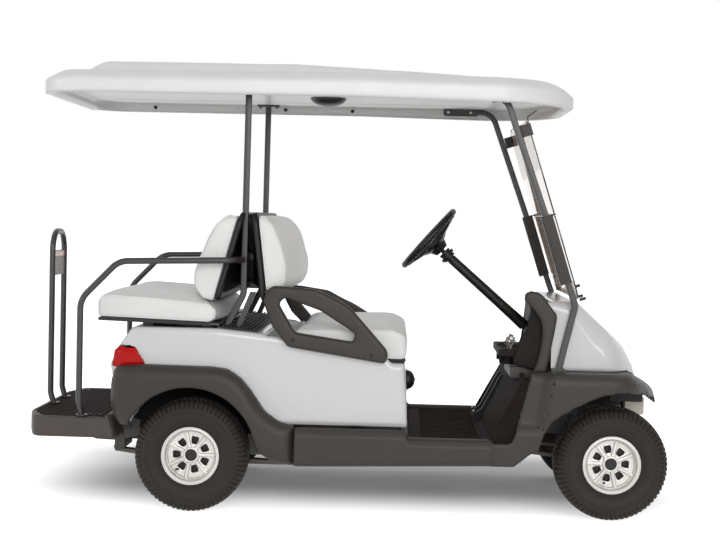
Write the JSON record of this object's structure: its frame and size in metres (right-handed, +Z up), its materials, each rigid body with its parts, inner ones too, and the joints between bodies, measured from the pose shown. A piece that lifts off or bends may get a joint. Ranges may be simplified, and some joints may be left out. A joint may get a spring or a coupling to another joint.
{
  "type": "four-seat golf cart",
  "caption": "Open electric cart with a roof, back-to-back bench seats, a folding windshield, looped armrests, handrails and a rear step with a grab hoop; its wheels roll and steer.",
  "frame": {"origin": "on the ground under the middle of the overall box", "axes": "+X forward, +Y to the left, +Z up"},
  "size_m": [2.6182, 1.2, 1.799],
  "materials": {
    "frame_metal": "mill-finish box section",
    "spring_steel": "black painted spring steel",
    "running_gear": "black chassis paint",
    "tyre_rubber": "moulded tyre rubber",
    "rim_silver": "machined and lacquered",
    "battery_case": "plain block",
    "motor_case": "plain block",
    "cladding": "fine grained charcoal moulding",
    "floor_mat": "ribbed floor mat",
    "body_white": "smooth white body panel",
    "seat_vinyl": "white grained vinyl",
    "seat_shell": "black moulding",
    "tube_black": "satin powder coat",
    "strut_paint": "satin powder coat",
    "roof_white": "white moulding",
    "pane_tint": "bronze tint",
    "steering_black": "soft black moulding",
    "red_lens": "red faceted lens",
    "clear_lens": "clear lens over a silver bowl"
  },
  "bodies": {
    "root": {"chassis_frame": "frame_metal", "leaf_springs": "spring_steel", "front_axle": "running_gear", "steering_gear": "running_gear", "rear_axle": "running_gear", "drive_motor": "motor_case", "battery_pack": "battery_case", "floor_pan": "floor_mat", "rocker_panels": "cladding", "rear_body": "body_white", "rear_fenders": "cladding", "front_fender": "cladding", "front_cowl": "body_white", "headlights": "clear_lens", "dashboard": "cladding", "steering_column": "steering_black", "pedals": "steering_black", "front_seat_back": "seat_vinyl", "rear_seat_back": "seat_vinyl", "rear_seat_cushion": "seat_vinyl", "rear_roof_struts": "tube_black", "seat_shells": "seat_shell", "seat_frame": "tube_black", "bag_tray": "seat_shell", "armrests": "cladding", "rear_step": "cladding", "grab_hoop": "tube_black", "handrails": "tube_black", "tail_lights": "red_lens", "roof": "roof_white", "front_roof_struts": "strut_paint", "windshield_lower": "pane_tint", "windshield_upper": "pane_tint", "windshield_channels": "tube_black", "direction_selector": "steering_black"},
    "front_right_wheel": {"front_right_tyre": "tyre_rubber", "front_right_rim": "rim_silver"},
    "front_left_wheel": {"front_left_tyre": "tyre_rubber", "front_left_rim": "rim_silver"},
    "rear_right_wheel": {"rear_right_tyre": "tyre_rubber", "rear_right_rim": "rim_silver"},
    "rear_left_wheel": {"rear_left_tyre": "tyre_rubber", "rear_left_rim": "rim_silver"},
    "right_knuckle": {"knuckle_right": "running_gear"},
    "left_knuckle": {"knuckle_left": "running_gear"},
    "tie_rod_body": {"tie_rod": "running_gear"},
    "steering_wheel_body": {"steering_wheel": "steering_black"},
    "front_seat": {"front_seat_base": "seat_shell", "front_seat_cushion": "seat_vinyl"}
  },
  "joints": [
    {"name": "steering_wheel_turn", "type": "hinge", "parent": "root", "child": "steering_wheel_body", "pos_m": [0.325, 0.28, 1.095], "axis": [0.7539, 0, -0.6569], "range_deg": [-450, 450]},
    {"name": "right_steer", "type": "hinge", "parent": "root", "child": "right_knuckle", "pos_m": [1.055, -0.3, 0.225], "axis": [0, 0, 1], "range_deg": [-30, 30]},
    {"name": "left_steer", "type": "hinge", "parent": "root", "child": "left_knuckle", "pos_m": [1.055, 0.3, 0.225], "axis": [0, 0, 1], "range_deg": [-30, 30]},
    {"name": "tie_rod_slide", "type": "slide", "parent": "root", "child": "tie_rod_body", "axis": [0, 1, 0], "range_m": [-0.055, 0.055]},
    {"name": "front_right_roll", "type": "hinge", "parent": "right_knuckle", "child": "front_right_wheel", "pos_m": [1.055, -0.438, 0.225], "axis": [0, 1, 0], "continuous": true},
    {"name": "front_left_roll", "type": "hinge", "parent": "left_knuckle", "child": "front_left_wheel", "pos_m": [1.055, 0.438, 0.225], "axis": [0, 1, 0], "continuous": true},
    {"name": "rear_right_roll", "type": "hinge", "parent": "root", "child": "rear_right_wheel", "pos_m": [-0.609, -0.489, 0.225], "axis": [0, 1, 0], "continuous": true},
    {"name": "rear_left_roll", "type": "hinge", "parent": "root", "child": "rear_left_wheel", "pos_m": [-0.609, 0.489, 0.225], "axis": [0, 1, 0], "continuous": true},
    {"name": "front_seat_lift", "type": "hinge", "parent": "root", "child": "front_seat", "pos_m": [0.229, 0, 0.6065], "axis": [0, 1, 0], "range_deg": [0, 50]}
  ],
  "couplings": [
    {"joint": "right_steer", "follows": "steering_wheel_turn", "ratio": -0.066667},
    {"joint": "left_steer", "follows": "steering_wheel_turn", "ratio": -0.066667},
    {"joint": "tie_rod_slide", "follows": "steering_wheel_turn", "m_per_rad": 0.0070028}
  ]
}
